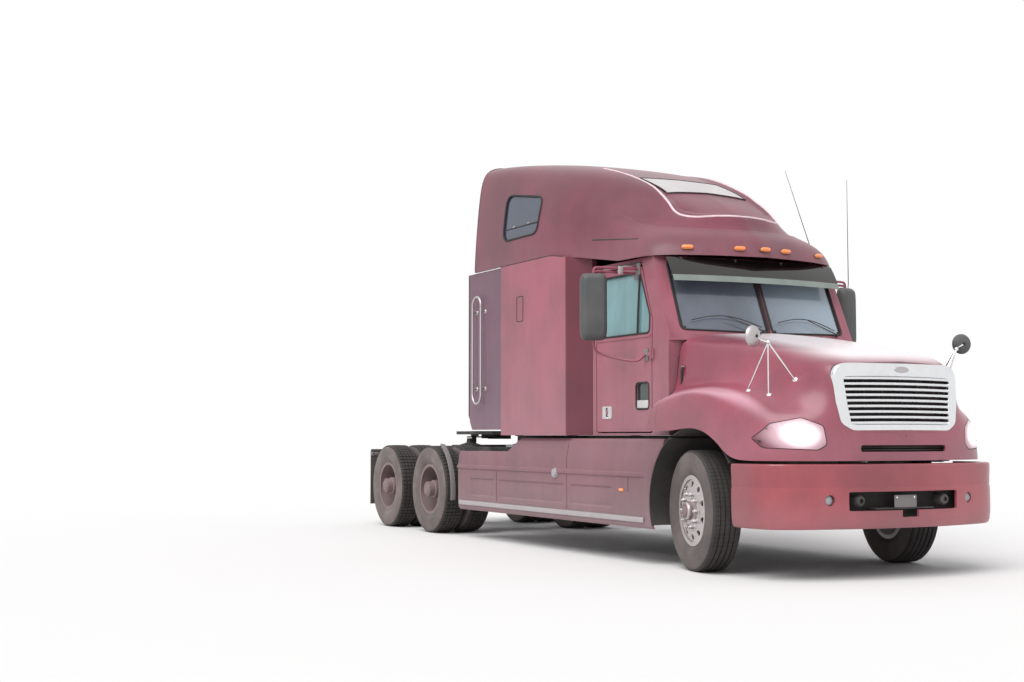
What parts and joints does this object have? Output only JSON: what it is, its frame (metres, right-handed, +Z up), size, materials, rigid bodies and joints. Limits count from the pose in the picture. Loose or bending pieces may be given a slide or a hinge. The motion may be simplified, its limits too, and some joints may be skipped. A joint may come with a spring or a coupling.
{
  "type": "semi truck tractor unit",
  "caption": "Long-nose road tractor with a raised-roof sleeper cab, side fairings, tilting hood, swinging doors, steered front wheels, twin drive wheels and a fifth wheel coupling.",
  "frame": {"origin": "on the ground at the middle of the vehicle's box", "axes": "+Z up, the front faces -Y, +X towards the vehicle's left side"},
  "size_m": [3.2042, 8.832, 4.16],
  "materials": {
    "paint": "dusty faded gloss",
    "dark_steel": "dusty satin black",
    "rubber": "matt",
    "tyre": "dusty matt",
    "rim": "dusty satin",
    "rim_dusty": "dusty matt",
    "tank": "dusty satin",
    "engine": "rough",
    "glass": "tinted",
    "chrome": "polished",
    "lamp": "clear",
    "amber": "gloss",
    "red_lamp": "gloss",
    "visor": "tinted",
    "black_plastic": "grained",
    "trim": "grained",
    "fabric": "woven"
  },
  "bodies": {
    "chassis": {"frame": "dark_steel", "front_axle": "dark_steel", "drive_axles": "dark_steel", "rear_suspension": "dark_steel", "powertrain": "engine", "radiator": "tank", "fuel_tanks": "tank", "air_tanks": "dark_steel", "exhaust": "tank", "deck_plate": "tank", "mud_flaps": "rubber", "tail_lamps": "red_lamp", "fifth_wheel_base": "dark_steel", "bumper": "paint", "bumper_lamps": "lamp", "wheel_liners": "black_plastic", "fairing_right": "paint", "fairing_left": "paint", "cab": "paint", "cab_floor": "trim", "sleeper": "paint", "roof_cap": "paint", "windscreen": "glass", "sleeper_windows": "glass", "sun_visor": "visor", "roof_lamps": "amber", "side_extenders": "paint", "grab_rails": "rim", "dashboard": "trim", "seats": "fabric"},
    "hood": {"hood": "paint", "grille": "chrome", "headlamps": "lamp", "hood_mirrors": "chrome"},
    "door_right": {"door_right": "paint", "door_glass_right": "glass", "mirror_right": "black_plastic"},
    "door_left": {"door_left": "paint", "door_glass_left": "glass", "mirror_left": "black_plastic"},
    "knuckle_right": {"knuckle_right": "dark_steel"},
    "knuckle_left": {"knuckle_left": "dark_steel"},
    "steer_wheel_right": {"steer_tyre_right": "tyre", "steer_rim_right": "rim"},
    "steer_wheel_left": {"steer_tyre_left": "tyre", "steer_rim_left": "rim"},
    "drive_wheels_fr": {"drive_tyres_fr": "tyre", "drive_rims_fr": "rim_dusty"},
    "drive_wheels_fl": {"drive_tyres_fl": "tyre", "drive_rims_fl": "rim_dusty"},
    "drive_wheels_rr": {"drive_tyres_rr": "tyre", "drive_rims_rr": "rim_dusty"},
    "drive_wheels_rl": {"drive_tyres_rl": "tyre", "drive_rims_rl": "rim_dusty"},
    "fifth_wheel": {"fifth_wheel": "dark_steel"}
  },
  "joints": [
    {"name": "steer_right", "type": "hinge", "parent": "chassis", "child": "knuckle_right", "pos_m": [-0.88, -3.094, 0.513], "axis": [0, 0, 1], "range_deg": [-24, 48]},
    {"name": "steer_left", "type": "hinge", "parent": "chassis", "child": "knuckle_left", "pos_m": [0.88, -3.094, 0.513], "axis": [0, 0, 1], "range_deg": [-24, 48]},
    {"name": "steer_wheel_right_spin", "type": "hinge", "parent": "knuckle_right", "child": "steer_wheel_right", "pos_m": [-1.0365, -3.06073, 0.513], "axis": [0.9781, -0.2079, 0], "continuous": true},
    {"name": "steer_wheel_left_spin", "type": "hinge", "parent": "knuckle_left", "child": "steer_wheel_left", "pos_m": [1.0365, -3.12727, 0.513], "axis": [0.9781, -0.2079, 0], "continuous": true},
    {"name": "drive_wheels_fr_spin", "type": "hinge", "parent": "chassis", "child": "drive_wheels_fr", "pos_m": [-0.91, 2.436, 0.513], "axis": [1, 0, 0], "continuous": true},
    {"name": "drive_wheels_fl_spin", "type": "hinge", "parent": "chassis", "child": "drive_wheels_fl", "pos_m": [0.91, 2.436, 0.513], "axis": [1, 0, 0], "continuous": true},
    {"name": "drive_wheels_rr_spin", "type": "hinge", "parent": "chassis", "child": "drive_wheels_rr", "pos_m": [-0.91, 3.756, 0.513], "axis": [1, 0, 0], "continuous": true},
    {"name": "drive_wheels_rl_spin", "type": "hinge", "parent": "chassis", "child": "drive_wheels_rl", "pos_m": [0.91, 3.756, 0.513], "axis": [1, 0, 0], "continuous": true},
    {"name": "door_right_swing", "type": "hinge", "parent": "chassis", "child": "door_right", "pos_m": [-1.066, -2.27, 1.6], "axis": [0, 0, 1], "range_deg": [0, 65]},
    {"name": "door_left_swing", "type": "hinge", "parent": "chassis", "child": "door_left", "pos_m": [1.066, -2.27, 1.6], "axis": [0, 0, -1], "range_deg": [0, 65]},
    {"name": "hood_tilt", "type": "hinge", "parent": "chassis", "child": "hood", "pos_m": [0, -4.378, 0.943], "axis": [1, 0, 0], "range_deg": [0, 55]},
    {"name": "fifth_wheel_tilt", "type": "hinge", "parent": "chassis", "child": "fifth_wheel", "pos_m": [0, 3.046, 1.08], "axis": [1, 0, 0], "range_deg": [-12, 12]}
  ],
  "couplings": [
    {"joint": "steer_left", "follows": "steer_right", "ratio": 1}
  ]
}
